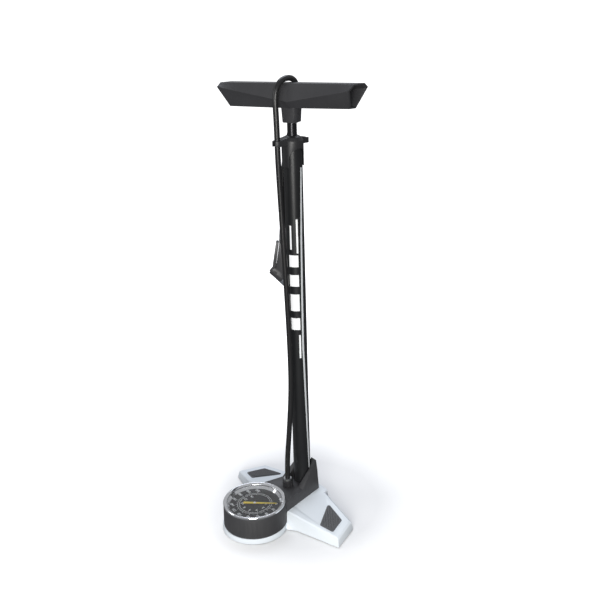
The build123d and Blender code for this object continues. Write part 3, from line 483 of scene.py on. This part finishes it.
BOLDNESS = 0.00012
SCALES = [(OUTER_FULL, 20, 0.0366, 0.0062), (INNER_FULL, 2, 0.0194, 0.0062)]
for full, each, radius, height in SCALES:
    for count in range(int(full / each) + 1):
        bpy.ops.object.select_all(action="DESELECT")
        bpy.ops.object.text_add()
        figure = bpy.context.object
        figure.data.body = str(count * each)
        figure.data.size = height
        figure.data.align_x = "CENTER"
        figure.data.align_y = "CENTER"
        figure.data.offset = BOLDNESS
        figure.data.extrude = INK / 2
        figure.data.resolution_u = 4
        bpy.ops.object.convert(target="MESH")
        figure = bpy.context.object
        heading = math.radians(ZERO_AT - SWEEP * count * each / full)
        figure.data.transform(Matrix.Translation((radius * math.cos(heading), radius * math.sin(heading), 0))
                              @ Matrix.Rotation(math.pi, 4, "Z"))
        keep_mark(0, 0)
bpy.ops.object.select_all(action="DESELECT")
for mark in marks:
    mark.select_set(True)
bpy.context.view_layer.objects.active = marks[0]
bpy.ops.object.join()
dial_print = bpy.context.object
dial_print.name = "dial_print"
dial_print.data.materials.clear()
dial_print.data.materials.append(figures)
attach(dial_print, "base")

window = bpy.data.materials.new("clear_acrylic")
window.use_nodes = True
pane = window.node_tree.nodes["Principled BSDF"]
pane.inputs["Base Color"].default_value = linear("#ffffff")
pane.inputs["Roughness"].default_value = 0.02
pane.inputs["Transmission Weight"].default_value = 1.0
pane.inputs["IOR"].default_value = 1.45
dress(window, "gauge_lens")

# The pointer is a thin stamped leaf, broad at its tail, that narrows past the hub to a blunt tip.
POINTER_TAIL = -0.0190
POINTER_TIP = 0.0370
POINTER_WIDTH = 0.0054
POINTER_THICK = 0.0006
POINTER_NARROWS = 0.32     # the width left beyond the middle
POINTER_LIFT = 0.0013      # above the dial's face
yellow = moulded("yellow_enamel", "#ffdf3c", "#ffe85a", 0.35, 0.5, 0.002)
bpy.ops.object.select_all(action="DESELECT")
bpy.ops.mesh.primitive_cube_add(size=1.0, scale=(POINTER_TIP - POINTER_TAIL, POINTER_WIDTH, POINTER_THICK))
bpy.ops.object.transform_apply(location=False, rotation=False, scale=True)
pointer = bpy.context.object
pointer.name = "pointer"
bpy.ops.object.mode_set(mode="EDIT")
shape = bmesh.from_edit_mesh(pointer.data)
for corner in shape.verts:
    corner.select_set(corner.co.x > 0)
shape.select_flush_mode()
bmesh.update_edit_mesh(pointer.data)
bpy.ops.transform.resize(value=(1.0, POINTER_NARROWS, 1.0), center_override=(0, 0, 0))
bpy.ops.mesh.select_all(action="SELECT")
bpy.ops.mesh.bevel(offset=0.0005, segments=2)
bpy.ops.object.mode_set(mode="OBJECT")
pointer.data.transform(GAUGE_AT @ Matrix.Rotation(math.radians(ZERO_AT), 4, "Z")
                       @ Matrix.Translation(((POINTER_TIP + POINTER_TAIL) / 2, 0, DIAL_FACE + POINTER_LIFT)))
stands_for(pointer, "gauge_needle", "needle", yellow)
hub_white = moulded("white_acetal", "#f0f0ee", "#f6f6f4", 0.30, 0.5, 0.002)
dress(hub_white, "needle_boss")
brass = moulded("turned_brass", "#b08d4a", "#c09c58", 0.28, 0.4, 0.004, metal=1.0)
dress(brass, "movement_frame", "pinion_spindle", "sector_gear", "sector_link", "bourdon_tube",
      "gauge_stem", "valve_plug", "outlet_stem")
dress(dial_ink, "dial_screws")


# ---------------------------------------------------------------- head
# The head that pushes on to a tyre valve: a black body, a metal nose nut and a thumb lever.
head_plastic = moulded("glass_filled_black_nylon", "#2e2e30", "#3a3a3c", 0.42, 0.7, 0.020, patch_mm=15)
head = eased_copy("head_body", "head_shell", 0.0007)
stands_for(head, "head_body", "base", head_plastic)
lever = eased_copy("head_lever", "thumb_lever", 0.0006)
stands_for(lever, "head_lever", "lever", head_plastic)
anodised = moulded("grey_anodised_aluminium", "#b4bac4", "#c0c6cf", 0.26, 0.4, 0.004, metal=1.0)
nose = eased_copy("nose_nut", "nose_ring", 0.0006)
stands_for(nose, "nose_nut", "base", anodised)


# ---------------------------------------------------------------- small pieces
# Screws, pins, seals and pads that show little or not at all.
pad_rubber = moulded("moulded_black_rubber", "#161617", "#1e1e1f", 0.62, 0.8, 0.020)
dress(pad_rubber, "floor_pads", "centre_floor_pad", "block_oring", "rod_wiper", "bump_stop", "piston_cup",
      "valve_gasket")
dress(grip_rubber, "grip_pad_right", "grip_pad_left")
zinc = moulded("zinc_plated_steel", "#a9acb0", "#b8bbbf", 0.30, 0.5, 0.004, metal=1.0)
dress(zinc, "socket_screws", "block_screws", "check_ball", "check_spring", "piston_washer", "piston_bolt")
machined = moulded("machined_aluminium", "#b4b6b9", "#c2c4c7", 0.30, 0.4, 0.004, metal=1.0)
dress(anodised, "nose_collar")
dress(machined, "valve_block", "rod_plug", "handle_stud", "hose_ferrule", "head_sleeve")
acetal = moulded("natural_acetal", "#d8d6cc", "#e2e0d8", 0.40, 0.8, 0.010)
dress(acetal, "rod_bush", "piston", "head_plunger")
dress(nylon, "outlet_nut", "lever_pin")
